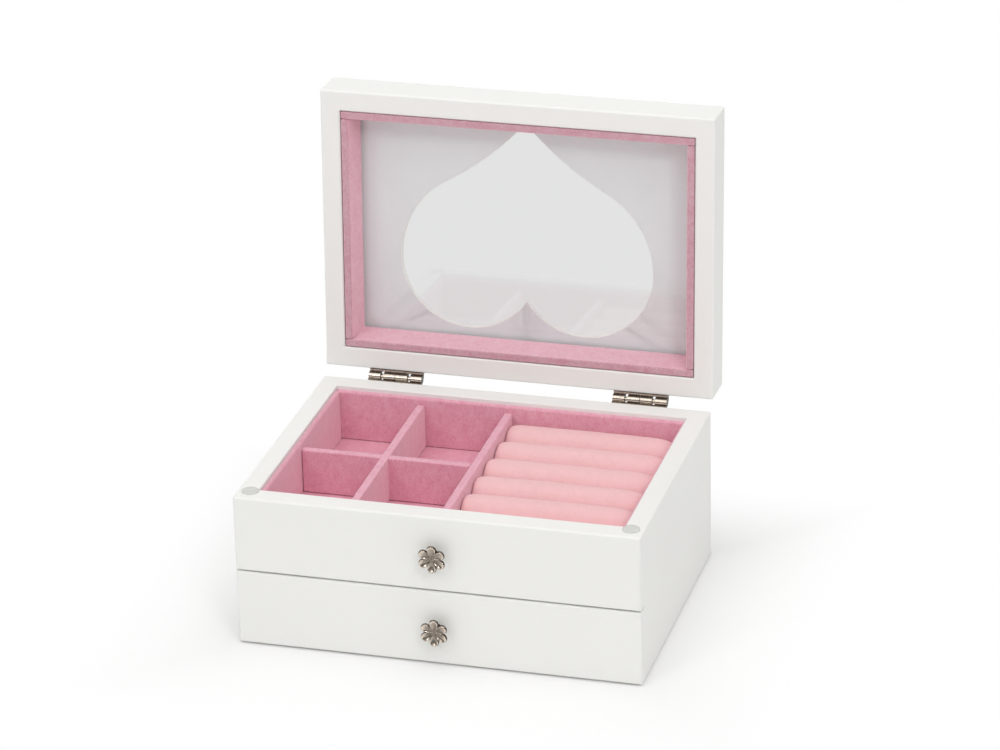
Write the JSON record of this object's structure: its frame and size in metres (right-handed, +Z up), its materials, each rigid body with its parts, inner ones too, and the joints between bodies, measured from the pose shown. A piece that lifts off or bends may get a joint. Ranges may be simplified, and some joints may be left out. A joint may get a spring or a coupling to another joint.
{
  "type": "jewelry box",
  "caption": "Painted wooden jewelry box with a hinged lid that has a glazed heart window, a velvet lined tray with ring rolls, and a drawer.",
  "frame": {"origin": "middle of the felt base, on the surface that the box stands on", "axes": "+Z up, +Y to the back where the hinges are, +X to the right seen from the front; the lid stands open at rest"},
  "size_m": [0.22, 0.204, 0.2502],
  "materials": {
    "painted_wood": "white satin paint on board",
    "drawer_board": "white painted thin board",
    "velvet_lining": "dusty pink velvet",
    "ring_roll_velour": "pale pink velour over foam",
    "antique_nickel": "antique nickel",
    "steel_screw": "plain",
    "clear_bumper": "clear soft plastic",
    "window_glass": "clear",
    "base_felt": "flat felt"
  },
  "bodies": {
    "case": {"case_side_left": "painted_wood", "case_side_right": "painted_wood", "case_back": "painted_wood", "case_bottom": "painted_wood", "base_felt": "base_felt", "tray_front": "painted_wood", "tray_shelf": "painted_wood", "tray_liner_floor": "velvet_lining", "tray_liner_front": "velvet_lining", "tray_liner_back": "velvet_lining", "tray_liner_left": "velvet_lining", "tray_liner_right": "velvet_lining", "tray_long_divider": "velvet_lining", "tray_cross_divider": "velvet_lining", "ring_divider": "velvet_lining", "ring_roll_1": "ring_roll_velour", "ring_roll_2": "ring_roll_velour", "ring_roll_3": "ring_roll_velour", "ring_roll_4": "ring_roll_velour", "ring_roll_5": "ring_roll_velour", "ring_roll_6": "ring_roll_velour", "bumper_left": "clear_bumper", "bumper_right": "clear_bumper", "upper_knob": "antique_nickel", "upper_knob_screw": "steel_screw", "hinge_left_case_leaf": "antique_nickel", "hinge_right_case_leaf": "antique_nickel", "hinge_left_pin": "antique_nickel", "hinge_right_pin": "antique_nickel", "case_hinge_screws": "antique_nickel"},
    "drawer": {"drawer_front": "painted_wood", "drawer_box_front": "drawer_board", "drawer_side_left": "drawer_board", "drawer_side_right": "drawer_board", "drawer_back": "drawer_board", "drawer_bottom": "drawer_board", "drawer_liner_floor": "velvet_lining", "drawer_liner_front": "velvet_lining", "drawer_liner_back": "velvet_lining", "drawer_liner_left": "velvet_lining", "drawer_liner_right": "velvet_lining", "drawer_knob": "antique_nickel", "drawer_knob_screw": "steel_screw"},
    "lid": {"lid_rail_front": "painted_wood", "lid_rail_back": "painted_wood", "lid_rail_left": "painted_wood", "lid_rail_right": "painted_wood", "lid_panel": "painted_wood", "lid_glass": "window_glass", "lid_liner_front": "velvet_lining", "lid_liner_back": "velvet_lining", "lid_liner_left": "velvet_lining", "lid_liner_right": "velvet_lining", "hinge_left_lid_leaf": "antique_nickel", "hinge_right_lid_leaf": "antique_nickel", "lid_hinge_screws": "antique_nickel"}
  },
  "joints": [
    {"name": "lid_hinge", "type": "hinge", "parent": "case", "child": "lid", "pos_m": [0, 0.0837, 0.08675], "axis": [1, 0, 0], "range_deg": [0, 93]},
    {"name": "drawer_slide", "type": "slide", "parent": "case", "child": "drawer", "axis": [0, -1, 0], "range_m": [0, 0.11]}
  ]
}
